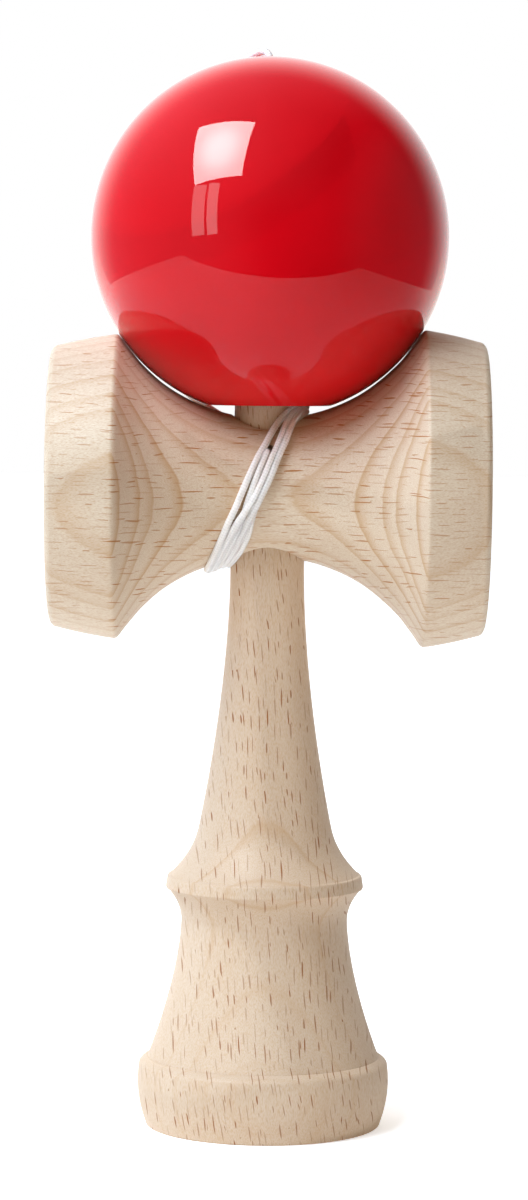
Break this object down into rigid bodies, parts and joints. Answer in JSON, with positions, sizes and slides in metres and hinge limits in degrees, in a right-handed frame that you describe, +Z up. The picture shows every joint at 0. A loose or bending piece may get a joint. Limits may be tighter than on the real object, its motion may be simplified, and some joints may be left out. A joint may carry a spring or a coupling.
{
  "type": "kendama",
  "caption": "Wooden kendama standing on its base: turned stick with a spike and base cup, crosspiece with a cup at each end, red lacquered ball on the spike, white string wound round the waist.",
  "frame": {"origin": "centre of the ring that the stick stands on, at the table", "axes": "+Z up the stick to the spike and the ball, +X along the crosspiece to the big cup, the string's hole faces -Y"},
  "size_m": [0.0728, 0.06, 0.1809],
  "materials": {
    "beech": "bare fine-sanded beech with short dark flecks",
    "lacquer": "glossy red lacquer over wood",
    "bead_wood": "bare wood",
    "string": "white braided cord"
  },
  "bodies": {
    "handle": {"stick": "beech", "crosspiece": "beech", "string_winding": "string", "string_riser": "string", "stick_knot": "string"},
    "bead": {"swivel_bead": "bead_wood", "bead_knot": "string", "string_inner": "string"},
    "ball": {"ball": "lacquer"}
  },
  "joints": [
    {"name": "ball_lift", "type": "slide", "parent": "handle", "child": "bead", "axis": [0, 0, 1], "range_m": [0, 0.045], "deforming": ["string_riser"]},
    {"name": "ball_spin", "type": "hinge", "parent": "bead", "child": "ball", "pos_m": [0, 0, 0.1496], "axis": [0, 0, 1], "continuous": true}
  ]
}
